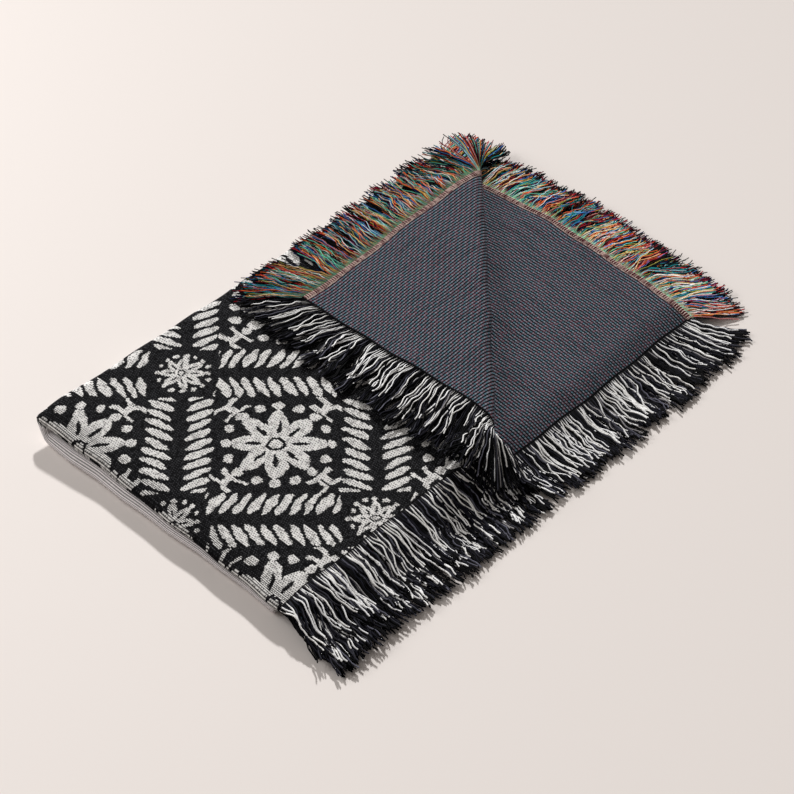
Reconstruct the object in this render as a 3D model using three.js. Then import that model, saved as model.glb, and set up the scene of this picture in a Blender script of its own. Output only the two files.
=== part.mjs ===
import * as THREE from 'three';

// A woven throw blanket, folded to eight layers, with one corner of its top layer turned back.
// Millimetres, +Z up. The origin is on the floor under the middle of the folded rectangle,
// +X points to the open side with the many-coloured fringe and +Y to the folded back.

// The sheet before it is folded
const flatWidth = 1270;
const flatLength = 1540;
const clothThick = 2.0;

// The folds: once along the middle, once across, then once more to the back
const layerPitch = 3.2;
const foldedDepth = 385;
const underlapFront = 25;
const underlapSide = 3;

// The corner of the top layer that is turned back
const creaseAt = 328;
const creaseRadius = 10.5;
const flapLift = 3.6;
const flapSettle = 175;

// The fringe
const fringeLength = 76;
const stripWidth = 4;
const stripGap = 0.7;
const lockWidth = 8;
const lockTip = 3;
const tipThick = 0.75;
const curlRise = 12;
const curlReach = 25;
const lockSteps = [0.35, 0.7, 1];

// How the free edges and the fringe sink to the floor
const sinkLength = 70;
const sideSqueeze = 0.45;
const frontSqueeze = 0.5;
const flapSqueeze = 0.3;
const frontStart = -6;

// Slack and puffiness of the folded stack, as swells with a centre, a spread and a height
const swells = [
  { x: -310, y: 190, spread: 120, amount: 0.04 },
  { x: -120, y: 60, spread: 90, amount: 0.05 },
  { x: -200, y: -120, spread: 80, amount: -0.04 },
  { x: 150, y: 150, spread: 90, amount: 0.06 },
  { x: 250, y: -60, spread: 100, amount: 0.04 },
];
const sideBow = 7;
const cornerPull = 5;
const pullSpread = 140;

// The folded side on the left: its top rounds down, the lower layers stick out under it, and the
// back corner is a loose roll that stands open, with its lower layers tucked in
const edgeReach = 34;
const edgeDrop = 0.12;
const frontDrop = 0.1;
const lowerOutBack = 13;
const lowerOutFront = 5;
const rollSpread = 70;
const rollLift = 5;
const rollOut = 5;
const rollTuck = 20;

const foldSteps = 6;
const crossSteps = 10;
const backSteps = 8;
const creaseSteps = 8;
const settleSteps = 5;
const wideSteps = 7;
const deepSteps = 5;

const foldRadius = layerPitch / 2;
const crossRadius = layerPitch;
const backRadius = 2 * layerPitch;
const halfStack = foldRadius + crossRadius + backRadius + clothThick / 2;
const topLayer = 2 * halfStack - clothThick / 2;
const lowGroup = halfStack;
const halfWidth = flatWidth / 2;
const halfLength = flatLength / 2;
const foldAt = -underlapFront / 2;
const crossAt = -underlapSide / 2;
const quarter = Math.PI / 2;
const foldedWidth = halfWidth + crossAt - quarter * crossRadius + crossRadius + foldRadius + clothThick / 2;
const sideEdge = foldedWidth / 2;
const frontEdge = -foldedDepth / 2;
const backFoldAt = foldedDepth - halfLength - foldAt + quarter * (foldRadius + backRadius) - halfStack;
const creaseMiddle = (creaseAt - sideEdge - frontEdge) / Math.SQRT2;
const creaseStart = creaseMiddle - quarter * creaseRadius;

function smooth(t) {
  const q = Math.min(Math.max(t, 0), 1);
  return q * q * (3 - 2 * q);
}

// Wraps a sheet round a fold: s runs across the fold, h is the height outside its middle line.
function bend(s, h, radius) {
  const half = quarter * radius;
  if (s <= -half) return [s + half, radius + h];
  if (s >= half) return [half - s, -radius - h];
  const turn = s / radius + quarter;
  return [(radius + h) * Math.sin(turn), (radius + h) * Math.cos(turn)];
}

// Turns the corner of the top layer up and back over itself.
function turnCorner(x, y, z) {
  const across = (x - y) / Math.SQRT2;
  const along = (x + y) / Math.SQRT2;
  if (across <= creaseStart || z < topLayer - layerPitch / 2) return [x, y, z];
  const radius = creaseRadius - (z - topLayer);
  const turn = (across - creaseStart) / creaseRadius;
  let newAcross = creaseStart + radius * Math.sin(turn);
  let newZ = topLayer + creaseRadius - radius * Math.cos(turn);
  if (turn > Math.PI) {
    const away = (turn - Math.PI) * creaseRadius;
    const fall = (2 * creaseRadius - flapLift) * smooth(away / flapSettle);
    newAcross = creaseStart - away;
    newZ = topLayer + creaseRadius + radius - fall;
  }
  return [(along + newAcross) / Math.SQRT2, (along - newAcross) / Math.SQRT2, newZ];
}

// Folds the flat sheet, where w is the height through its thickness and +w its patterned face.
function fold(u, v, w) {
  const [y1, z1] = bend(v - foldAt, w, foldRadius);
  const [x2, z2] = bend(u - crossAt, z1, crossRadius);
  const [y3, z3] = bend(y1 - backFoldAt, z2, backRadius);
  const x = crossRadius + foldRadius + clothThick / 2 - sideEdge - x2;
  const y = y3 - halfStack - frontEdge;
  return turnCorner(x, y, z3 + halfStack);
}

// Loosens the folded side: the lower half of the stack moves out and the back corner opens.
function loosen([x, y, z]) {
  const fromSide = x + sideEdge;
  const toRoll = Math.hypot(fromSide, y + frontEdge) / rollSpread;
  const roll = Math.exp(-toRoll * toRoll);
  const upper = smooth((z - halfStack) / (2.6 * layerPitch) + 0.5);
  const above = smooth((z - halfStack) / (0.5 * layerPitch) + 0.5);
  const back = smooth((y - frontEdge) / foldedDepth);
  const out = lowerOutFront + (lowerOutBack - lowerOutFront) * back;
  const fade = 1 - smooth(fromSide / (1.6 * sideEdge));
  return [
    x - (1 - upper) * out * fade - upper * rollOut * roll,
    y - (1 - upper) * rollTuck * roll,
    z + above * rollLift * roll,
  ];
}

// Sinks what reaches past the open edges to the floor, then gives the stack its slack.
function settle(folded) {
  const [x, y, z] = loosen(folded);
  const side = smooth((x - sideEdge) / sinkLength);
  const front = smooth((frontEdge - y - frontStart) / sinkLength);
  const sideScale = 1 + (sideSqueeze - 1) * side;
  const frontScale = 1 + (frontSqueeze - 1) * front;
  const nearFold = 1 - smooth((folded[0] + sideEdge) / edgeReach);
  const drop = edgeDrop + frontDrop * smooth(0.5 - y / foldedDepth);
  let height = (z - lowGroup * front) * sideScale * frontScale * (1 - drop * nearFold);
  let puff = 1;
  for (const swell of swells) {
    const reach = ((x - swell.x) ** 2 + (y - swell.y) ** 2) / (2 * swell.spread ** 2);
    puff += swell.amount * Math.exp(-reach);
  }
  height *= puff;
  const nearSide = smooth((x + sideEdge / 2) / (1.5 * sideEdge));
  const bow = sideBow * Math.cos(Math.PI * y / (foldedDepth * 1.1));
  const toCorner = Math.hypot(x - sideEdge, y - frontEdge) / pullSpread;
  const pull = cornerPull * Math.exp(-toCorner * toCorner);
  return [x + nearSide * (bow - sideBow / 3) - pull, y + pull * 0.6, height];
}

function place(u, v, w) {
  return settle(fold(u, v, w));
}

function line(from, to, steps) {
  const stops = [];
  for (let i = 0; i <= steps; i++) stops.push(from + (to - from) * i / steps);
  return stops;
}

function aroundFold(at, radius, steps) {
  return line(at - quarter * radius, at + quarter * radius, steps);
}

// The two places along the length where the sheet goes round the back fold
const backNear = foldAt + backFoldAt - quarter * foldRadius;
const backFar = foldAt - backFoldAt + quarter * foldRadius;

// Where the turned corner's crease and slope lines cross: u + v is the same all along such a line
function diagonal(across) {
  const x0 = crossRadius + foldRadius + clothThick / 2 - sideEdge - quarter * crossRadius + crossAt;
  const y0 = quarter * (foldRadius + backRadius) - foldAt - backFoldAt - halfStack - frontEdge;
  return x0 - y0 - across * Math.SQRT2;
}
const creaseLines = line(creaseStart, creaseStart + Math.PI * creaseRadius, creaseSteps);
const creaseEnd = creaseStart + Math.PI * creaseRadius;
const settleLines = line(creaseEnd, creaseEnd + flapSettle, settleSteps).slice(1);
const diagonals = [...creaseLines, ...settleLines].map(diagonal);

function solid(vertices, triangles, name, colour) {
  const geometry = new THREE.BufferGeometry();
  geometry.setAttribute('position', new THREE.Float32BufferAttribute(vertices.flat(), 3));
  geometry.setIndex(triangles.flat());
  geometry.computeVertexNormals();
  const material = new THREE.MeshStandardMaterial({ color: colour, roughness: 0.95, metalness: 0 });
  const mesh = new THREE.Mesh(geometry, material);
  mesh.name = name;
  return mesh;
}

// Cuts every polygon of the flat sheet along the line a*u + b*v = c.
function splitAll(polygons, a, b, c) {
  const result = [];
  for (const polygon of polygons) {
    const low = [];
    const high = [];
    for (let i = 0; i < polygon.length; i++) {
      const p = polygon[i];
      const q = polygon[(i + 1) % polygon.length];
      const dp = a * p[0] + b * p[1] - c;
      const dq = a * q[0] + b * q[1] - c;
      if (dp <= 1e-6) low.push(p);
      if (dp >= -1e-6) high.push(p);
      if (Math.abs(dp) > 1e-6 && Math.abs(dq) > 1e-6 && dp * dq < 0) {
        const t = dp / (dp - dq);
        const cut = [p[0] + (q[0] - p[0]) * t, p[1] + (q[1] - p[1]) * t];
        low.push(cut);
        high.push(cut);
      }
    }
    const isLow = polygon.some((p) => a * p[0] + b * p[1] - c < -1e-6);
    const isHigh = polygon.some((p) => a * p[0] + b * p[1] - c > 1e-6);
    if (isLow && low.length > 2) result.push(low);
    if (isHigh && high.length > 2) result.push(high);
  }
  return result;
}

function makeCloth() {
  const crossNear = crossAt - quarter * crossRadius;
  const crossFar = crossAt + quarter * crossRadius;
  const uLines = [
    ...line(-halfWidth, crossNear - edgeReach, wideSteps).slice(1),
    crossNear - edgeReach / 2,
    ...aroundFold(crossAt, crossRadius, crossSteps),
    crossFar + edgeReach / 2,
    ...line(crossFar + edgeReach, halfWidth, wideSteps).slice(0, -1),
  ];
  const firstStraight = backNear - quarter * backRadius;
  const secondStraight = backNear + quarter * backRadius;
  const thirdStraight = backFar - quarter * backRadius;
  const lastStraight = backFar + quarter * backRadius;
  const vLines = [
    ...line(-halfLength, firstStraight, deepSteps).slice(1, -1),
    ...aroundFold(backNear, backRadius, backSteps),
    ...line(secondStraight, foldAt - quarter * foldRadius, deepSteps).slice(1, -1),
    ...aroundFold(foldAt, foldRadius, foldSteps),
    ...line(foldAt + quarter * foldRadius, thirdStraight, deepSteps).slice(1, -1),
    ...aroundFold(backFar, backRadius, backSteps),
    ...line(lastStraight, halfLength - underlapFront + frontStart, deepSteps).slice(1),
    ...line(halfLength - underlapFront, halfLength, 3).slice(0, -1),
  ];
  let polygons = [[
    [-halfWidth, -halfLength],
    [halfWidth, -halfLength],
    [halfWidth, halfLength],
    [-halfWidth, halfLength],
  ]];
  for (const u of uLines) polygons = splitAll(polygons, 1, 0, u);
  for (const v of vLines) polygons = splitAll(polygons, 0, 1, v);
  for (const sum of diagonals) polygons = splitAll(polygons, 1, 1, sum);

  const flatPoints = [];
  const seen = new Map();
  function pointIndex([u, v]) {
    const key = `${u.toFixed(3)},${v.toFixed(3)}`;
    if (!seen.has(key)) {
      seen.set(key, flatPoints.length);
      flatPoints.push([u, v]);
    }
    return seen.get(key);
  }
  const faces = polygons.map((polygon) => polygon.map(pointIndex));
  const count = flatPoints.length;
  const vertices = [];
  for (const side of [1, -1]) {
    for (const [u, v] of flatPoints) vertices.push(place(u, v, side * clothThick / 2));
  }
  const triangles = [];
  const edges = new Map();
  for (const face of faces) {
    for (let i = 1; i < face.length - 1; i++) {
      triangles.push([face[0], face[i + 1], face[i]]);
      triangles.push([face[0] + count, face[i] + count, face[i + 1] + count]);
    }
    for (let i = 0; i < face.length; i++) {
      const from = face[i];
      const to = face[(i + 1) % face.length];
      if (edges.has(`${to},${from}`)) edges.delete(`${to},${from}`);
      else edges.set(`${from},${to}`, [from, to]);
    }
  }
  for (const [from, to] of edges.values()) {
    triangles.push([from, to, to + count]);
    triangles.push([from, to + count, from + count]);
  }
  return solid(vertices, triangles, 'cloth', 0x2a2b2e);
}

// A fringe runs along one whole edge of the flat sheet. Its runs are the straight stretches between
// folds, with how many locks stand on each, how long they are and how far they fan out at each end.
// Along a side edge the runs go by v, along a front edge by u.
const fanOut = 0.55;
const fanLength = 55;
const curlLocks = 4;
const runInset = 6;
const backBefore = backNear - quarter * backRadius;
const backAfter = backNear + quarter * backRadius;
const farBefore = backFar - quarter * backRadius;
const farAfter = backFar + quarter * backRadius;
const foldBefore = foldAt - quarter * foldRadius;
const foldAfter = foldAt + quarter * foldRadius;
const crossBefore = crossAt - quarter * crossRadius;
const crossAfter = crossAt + quarter * crossRadius;
// Where the crease meets the side edge, counted along v, and the front edge, counted along u
const sideCurlEnd = diagonal(creaseStart) + halfWidth;
const sideCurlStart = diagonal(creaseEnd) + halfWidth;
const frontCurlEnd = diagonal(creaseStart) + halfLength;
const frontCurlStart = diagonal(creaseEnd) + halfLength;

const fringes = [
  {
    name: 'fringe_side_outer', edge: 'side', at: -1, colour: 0x6f6a5c,
    bends: [
      line(sideCurlStart, sideCurlEnd, creaseSteps),
      aroundFold(backNear, backRadius, backSteps),
      aroundFold(foldAt, foldRadius, foldSteps),
      aroundFold(backFar, backRadius, backSteps),
    ],
    runs: [
      { from: -halfLength, to: sideCurlStart, locks: 24, fanFrom: 1, fanTo: 0, onFlap: true },
      { from: sideCurlStart, to: sideCurlEnd, locks: curlLocks, fanFrom: 0, fanTo: 0, onFlap: false },
      { from: sideCurlEnd, to: backBefore, locks: 5, fanFrom: 0, fanTo: 0.6, onFlap: false },
      { from: backAfter, to: foldBefore, locks: 9, fanFrom: 0.6, fanTo: 0, onFlap: false },
      { from: foldAfter, to: farBefore, locks: 9, fanFrom: 0, fanTo: 0.6, onFlap: false },
      { from: farAfter, to: halfLength, locks: 32, fanFrom: 0.6, fanTo: 1, onFlap: false },
    ],
  },
  {
    name: 'fringe_side_inner', edge: 'side', at: 1, colour: 0x5b5f63,
    bends: [
      aroundFold(backNear, backRadius, backSteps),
      aroundFold(foldAt, foldRadius, foldSteps),
      aroundFold(backFar, backRadius, backSteps),
    ],
    runs: [
      { from: -halfLength, to: backBefore, locks: 9, fanFrom: 0.6, fanTo: 0.6, onFlap: false },
      { from: backAfter, to: foldBefore, locks: 9, fanFrom: 0.6, fanTo: 0, onFlap: false },
      { from: foldAfter, to: farBefore, locks: 9, fanFrom: 0, fanTo: 0.6, onFlap: false },
      { from: farAfter, to: halfLength, locks: 9, fanFrom: 0.6, fanTo: 0.6, onFlap: false },
    ],
  },
  {
    name: 'fringe_front_outer', edge: 'front', at: -1, colour: 0x3a3a3d,
    bends: [
      line(frontCurlStart, frontCurlEnd, creaseSteps),
      aroundFold(crossAt, crossRadius, crossSteps),
    ],
    runs: [
      { from: -halfWidth, to: frontCurlStart, locks: 24, fanFrom: 1, fanTo: 0, onFlap: true },
      { from: frontCurlStart, to: frontCurlEnd, locks: curlLocks, fanFrom: 0, fanTo: 0, onFlap: false },
      { from: frontCurlEnd, to: crossBefore, locks: 26, fanFrom: 0, fanTo: 1, onFlap: false },
      { from: crossAfter, to: halfWidth, locks: 12, fanFrom: 0.7, fanTo: 0.4, onFlap: false },
    ],
  },
  {
    name: 'fringe_front_inner', edge: 'front', at: 1, colour: 0x333437,
    bends: [
      aroundFold(crossAt, crossRadius, crossSteps),
    ],
    runs: [
      { from: -halfWidth, to: crossBefore, locks: 38, fanFrom: 1, fanTo: 0.7, onFlap: false },
      { from: crossAfter, to: halfWidth, locks: 12, fanFrom: 0.7, fanTo: 0.4, onFlap: false },
    ],
  },
];

// A point beside one edge of the flat sheet, taken round the folds: out is the distance past the edge.
function besideEdge(fringe, s, out, w) {
  if (fringe.edge === 'side') return fold(fringe.at * (halfWidth + out), s, w);
  return fold(s, fringe.at * (halfLength + out), w);
}

// One point of a lock: step 0 is its root on the strip, 1 its tip. The lock leaves the strip in the
// sheet's own direction, without its climb, and fans out at the ends of its run.
function lockPoint(fringe, run, s, root, half, fan, step, w) {
  const base = new THREE.Vector3(...besideEdge(fringe, s, root, 0));
  const inner = new THREE.Vector3(...besideEdge(fringe, s, root - 1, 0));
  const beside = new THREE.Vector3(...besideEdge(fringe, s + 0.5, root, 0));
  const before = new THREE.Vector3(...besideEdge(fringe, s - 0.5, root, 0));
  const outward = base.clone().sub(inner).normalize();
  const sideways = beside.clone().sub(before).normalize();
  const up = new THREE.Vector3().crossVectors(sideways, outward).normalize();
  const upSign = besideEdge(fringe, s, root, 1);
  if (up.dot(new THREE.Vector3(...upSign).sub(base)) < 0) up.negate();
  const climb = outward.z;
  outward.z = 0;
  outward.normalize();
  const reach = (fringeLength - stripWidth) * step;
  const point = base.clone();
  point.addScaledVector(outward, reach * Math.cos(fan));
  point.addScaledVector(sideways, half + reach * Math.sin(fan));
  point.z += climb * curlRise * (1 - Math.exp(-reach / curlReach));
  if (run.onFlap) {
    const rest = topLayer + flapLift;
    const squeeze = 1 + (flapSqueeze - 1) * smooth(reach / sinkLength);
    point.z = rest + (point.z - rest) * squeeze;
  }
  point.addScaledVector(up, w);
  return settle([point.x, point.y, point.z]);
}

function makeFringe(fringe) {
  const stations = [];
  for (const run of fringe.runs) {
    const inset = run.locks === curlLocks ? 0 : runInset;
    const pitch = (run.to - run.from - 2 * inset) / run.locks;
    const half = Math.min(lockWidth, pitch * 0.7) / 2;
    for (let i = 0; i < run.locks; i++) {
      const s = run.from + inset + pitch * (i + 0.5);
      const fromEnd = (run.fanFrom * fanOut) * Math.exp(-(s - run.from) / fanLength);
      const toEnd = (run.fanTo * fanOut) * Math.exp(-(run.to - s) / fanLength);
      stations.push({ s: s - half, lock: { run, middle: s, half, fan: toEnd - fromEnd } });
      stations.push({ s: s + half, lock: null });
    }
  }
  const plain = [fringe.runs[0].from, fringe.runs[fringe.runs.length - 1].to];
  for (const bendStops of fringe.bends) {
    for (const s of bendStops) {
      const inLock = stations.some((st) => st.lock && s > st.s - 0.6 && s < st.s + 2 * st.lock.half + 0.6);
      if (!inLock) plain.push(s);
    }
  }
  for (const s of plain) stations.push({ s, lock: null });
  stations.sort((a, b) => a.s - b.s);

  const vertices = [];
  const triangles = [];
  // Each entry is a pair of points, on the patterned and on the plain face
  function pair(upper, lower) {
    vertices.push(upper, lower);
    return vertices.length - 2;
  }
  function quad(a, b, c, d) {
    triangles.push([a, b, c], [a, c, d]);
  }
  function plate(a, b, c, d) {
    quad(a, b, c, d);
    quad(a + 1, d + 1, c + 1, b + 1);
  }
  function wall(a, b) {
    quad(a, b, b + 1, a + 1);
  }
  const half = clothThick / 2;
  const inner = [];
  const outer = [];
  for (const station of stations) {
    const near = stripGap;
    const far = stripGap + stripWidth;
    inner.push(pair(
      settle(besideEdge(fringe, station.s, near, half)), settle(besideEdge(fringe, station.s, near, -half)),
    ));
    outer.push(pair(
      settle(besideEdge(fringe, station.s, far, half)), settle(besideEdge(fringe, station.s, far, -half)),
    ));
  }
  const last = stations.length - 1;
  for (let i = 0; i < last; i++) {
    plate(inner[i], inner[i + 1], outer[i + 1], outer[i]);
    wall(inner[i + 1], inner[i]);
    const lock = stations[i].lock;
    if (!lock) {
      wall(outer[i], outer[i + 1]);
      continue;
    }
    let left = outer[i];
    let right = outer[i + 1];
    for (const step of lockSteps) {
      const width = lock.half + (lockTip / 2 - lock.half) * step * step;
      const thick = half + (tipThick / 2 - half) * step;
      const root = stripGap + stripWidth;
      const at = (side, w) => lockPoint(fringe, lock.run, lock.middle, root, side * width, lock.fan, step, w);
      const nextLeft = pair(at(-1, thick), at(-1, -thick));
      const nextRight = pair(at(1, thick), at(1, -thick));
      plate(left, right, nextRight, nextLeft);
      wall(left, nextLeft);
      wall(nextRight, right);
      left = nextLeft;
      right = nextRight;
    }
    wall(left, right);
  }
  wall(inner[0], outer[0]);
  wall(outer[last], inner[last]);
  if (enclosed(vertices, triangles) < 0) triangles.forEach((t) => t.reverse());
  return solid(vertices, triangles, fringe.name, fringe.colour);
}

// The volume inside a closed mesh, negative when its faces point inwards
function enclosed(vertices, triangles) {
  let sum = 0;
  for (const [i, j, k] of triangles) {
    const a = new THREE.Vector3(...vertices[i]);
    const b = new THREE.Vector3(...vertices[j]);
    const c = new THREE.Vector3(...vertices[k]);
    sum += a.dot(b.cross(c)) / 6;
  }
  return sum;
}

const blanket = new THREE.Group();
blanket.name = 'throw_blanket';
blanket.add(makeCloth());
for (const fringe of fringes) blanket.add(makeFringe(fringe));

export default blanket;
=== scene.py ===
import math

import bmesh
import bpy
import numpy as np
from mathutils import Matrix, Vector


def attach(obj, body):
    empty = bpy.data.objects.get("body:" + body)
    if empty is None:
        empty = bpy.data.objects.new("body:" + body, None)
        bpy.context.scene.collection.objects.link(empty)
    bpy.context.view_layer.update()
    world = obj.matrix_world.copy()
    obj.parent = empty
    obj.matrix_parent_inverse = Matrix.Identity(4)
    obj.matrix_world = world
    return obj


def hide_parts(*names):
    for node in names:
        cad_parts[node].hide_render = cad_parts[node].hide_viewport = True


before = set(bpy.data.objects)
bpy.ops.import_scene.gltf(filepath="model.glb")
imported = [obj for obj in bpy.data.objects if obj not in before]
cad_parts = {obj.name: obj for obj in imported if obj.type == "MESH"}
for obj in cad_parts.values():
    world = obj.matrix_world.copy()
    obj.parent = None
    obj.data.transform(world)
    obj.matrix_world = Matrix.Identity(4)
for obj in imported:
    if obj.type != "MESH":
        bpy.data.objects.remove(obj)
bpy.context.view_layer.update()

# The blanket's flat size and its folds, in metres or as shares, as the solids have them
blanket = {
    "flatWidth": 1.27,
    "flatLength": 1.54,
    "thick": 0.002,
    "layerPitch": 0.0032,
    "foldedDepth": 0.385,
    "underlapFront": 0.025,
    "underlapSide": 0.003,
    "creaseAt": 0.328,
    "creaseRadius": 0.0105,
    "flapLift": 0.0036,
    "flapSettle": 0.175,
    "sinkLength": 0.070,
    "sideSqueeze": 0.45,
    "frontSqueeze": 0.5,
    "flapSqueeze": 0.3,
    "frontStart": -0.006,
    "edgeReach": 0.034,
    "edgeDrop": 0.12,
    "frontDrop": 0.10,
    "lowerOutBack": 0.013,
    "lowerOutFront": 0.005,
    "lowerOutReach": 1.6,  # in halves of the folded width
    "lowerBlend": 2.6,  # in layers, and so is the next
    "openBlend": 0.5,
    "rollSpread": 0.070,
    "rollLift": 0.005,
    "rollOut": 0.005,
    "rollTuck": 0.020,
    "sideBow": 0.007,
    "bowReach": 1.5,
    "bowSpan": 1.1,
    "cornerPull": 0.005,
    "pullSpread": 0.14,
    "pullSlant": 0.6,
    "swells": [  # centre x, centre y, spread, amount
        (-0.310, 0.190, 0.120, 0.04),
        (-0.120, 0.060, 0.090, 0.05),
        (-0.200, -0.120, 0.080, -0.04),
        (0.150, 0.150, 0.090, 0.06),
        (0.250, -0.060, 0.100, 0.04),
    ],

    # The rest are small shifts of the dressed cloth alone
    "upperOutFront": 0.006,
    "loftReach": 0.22,
    "slideBack": 0.015,
    "slideFrom": 0.05,
    "slideSpread": 0.25,
    "slideBlend": 0.3,
    "slideUnder": 1.2,
    "waver": 0.0008,
    "slowShare": 0.6,
    "waverX": (83, 0.7, 37, 23),  # a quick wave and its phase, a slow wave and its slant
    "waverY": (71, 1.9, 29, -31),
}

quarter = math.pi / 2
foldRadius = blanket["layerPitch"] / 2
crossRadius = blanket["layerPitch"]
backRadius = 2 * blanket["layerPitch"]
halfThick = blanket["thick"] / 2
halfStack = foldRadius + crossRadius + backRadius + halfThick
topLayer = 2 * halfStack - halfThick
halfWidth = blanket["flatWidth"] / 2
halfLength = blanket["flatLength"] / 2
foldAt = -blanket["underlapFront"] / 2
crossAt = -blanket["underlapSide"] / 2
foldedWidth = halfWidth + crossAt - quarter * crossRadius + crossRadius + foldRadius + halfThick
sideEdge = foldedWidth / 2
frontEdge = -blanket["foldedDepth"] / 2
backFoldAt = blanket["foldedDepth"] - halfLength - foldAt + quarter * (foldRadius + backRadius) - halfStack
creaseMiddle = (blanket["creaseAt"] - sideEdge - frontEdge) / math.sqrt(2)
creaseStart = creaseMiddle - quarter * blanket["creaseRadius"]
creaseEnd = creaseStart + math.pi * blanket["creaseRadius"]


def smooth(t):
    q = np.clip(t, 0, 1)
    return q * q * (3 - 2 * q)


def bend(s, h, radius):  # wraps a sheet round a fold: s across the fold, h outside its middle line
    half = quarter * radius
    turn = np.clip(s, -half, half) / radius + quarter
    along = (radius + h) * np.sin(turn) + np.minimum(s + half, 0) - np.maximum(s - half, 0)
    return along, (radius + h) * np.cos(turn)


def turnCorner(x, y, z):  # the corner of the top layer goes up and back over itself
    radius = blanket["creaseRadius"]
    across = (x - y) / math.sqrt(2)
    along = (x + y) / math.sqrt(2)
    turned = (across > creaseStart) & (z > topLayer - blanket["layerPitch"] / 2)
    turn = np.clip((across - creaseStart) / radius, 0, math.pi)
    away = np.maximum(across - creaseEnd, 0)
    own = radius - (z - topLayer)
    fall = (2 * radius - blanket["flapLift"]) * smooth(away / blanket["flapSettle"])
    newAcross = creaseStart + own * np.sin(turn) - away
    newZ = topLayer + radius - own * np.cos(turn) - fall
    return (
        np.where(turned, (along + newAcross) / math.sqrt(2), x),
        np.where(turned, (along - newAcross) / math.sqrt(2), y),
        np.where(turned, newZ, z),
    )


def fold(u, v, w):  # from the flat sheet to the folded stack; +w is the patterned face
    y1, z1 = bend(v - foldAt, w, foldRadius)
    x2, z2 = bend(u - crossAt, z1, crossRadius)
    y3, z3 = bend(y1 - backFoldAt, z2, backRadius)
    x = crossRadius + foldRadius + halfThick - sideEdge - x2
    y = y3 - halfStack - frontEdge
    return turnCorner(x, y, z3 + halfStack)


def loosen(x, y, z):  # the lower half of the stack moves out and the back corner opens
    b = blanket
    fromSide = x + sideEdge
    roll = np.exp(-(np.hypot(fromSide, y + frontEdge) / b["rollSpread"]) ** 2)
    upper = smooth((z - halfStack) / (b["lowerBlend"] * b["layerPitch"]) + 0.5)
    above = smooth((z - halfStack) / (b["openBlend"] * b["layerPitch"]) + 0.5)
    back = smooth((y - frontEdge) / b["foldedDepth"])
    out = b["lowerOutFront"] + (b["lowerOutBack"] - b["lowerOutFront"]) * back
    fade = 1 - smooth(fromSide / (b["lowerOutReach"] * sideEdge))
    lowerOut = (1 - upper) * out * fade
    upperOut = upper * (b["rollOut"] * roll + b["upperOutFront"] * (1 - back) * fade)
    return (
        x - lowerOut - upperOut,
        y - (1 - upper) * b["rollTuck"] * roll,
        z + above * b["rollLift"] * roll,
    )


def waver(along, across, wave):  # so that no edge is quite straight
    quick, phase, slow, slant = wave
    slowWave = blanket["slowShare"] * np.sin(slow * along + slant * across)
    return blanket["waver"] * (np.sin(quick * along + phase) + slowWave)


def settle(x, y, z):  # open edges and fringe sink to the floor, and the stack has its slack
    b = blanket
    nearFold = 1 - smooth((x + sideEdge) / b["edgeReach"])
    x, y, z = loosen(x, y, z)
    side = smooth((x - sideEdge) / b["sinkLength"])
    front = smooth((frontEdge - y - b["frontStart"]) / b["sinkLength"])
    height = (z - halfStack * front) * (1 + (b["sideSqueeze"] - 1) * side)
    loft = 1 - smooth((x + sideEdge) / b["loftReach"])
    height = height * (1 + (b["frontSqueeze"] - 1) * front * (1 - loft))
    drop = b["edgeDrop"] + b["frontDrop"] * smooth(0.5 - y / b["foldedDepth"])
    height = height * (1 - drop * nearFold)
    puff = 1.0
    for cx, cy, spread, amount in b["swells"]:
        puff = puff + amount * np.exp(-((x - cx) ** 2 + (y - cy) ** 2) / (2 * spread**2))
    nearSide = smooth((x + sideEdge / 2) / (b["bowReach"] * sideEdge))
    bow = b["sideBow"] * np.cos(math.pi * y / (b["foldedDepth"] * b["bowSpan"]))
    toCorner = np.hypot(x - sideEdge, y - frontEdge) / b["pullSpread"]
    pull = b["cornerPull"] * np.exp(-toCorner * toCorner)
    under = smooth((topLayer - z) / (b["slideBlend"] * b["layerPitch"]) - b["slideUnder"])
    slide = b["slideBack"] * under * smooth(-y / frontEdge) * smooth((x - b["slideFrom"]) / b["slideSpread"])
    newX = x + nearSide * (bow - b["sideBow"] / 3) - pull - slide + waver(y, x, b["waverX"])
    newY = y + pull * b["pullSlant"] + waver(x, y, b["waverY"])
    return newX, newY, height * puff


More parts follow.
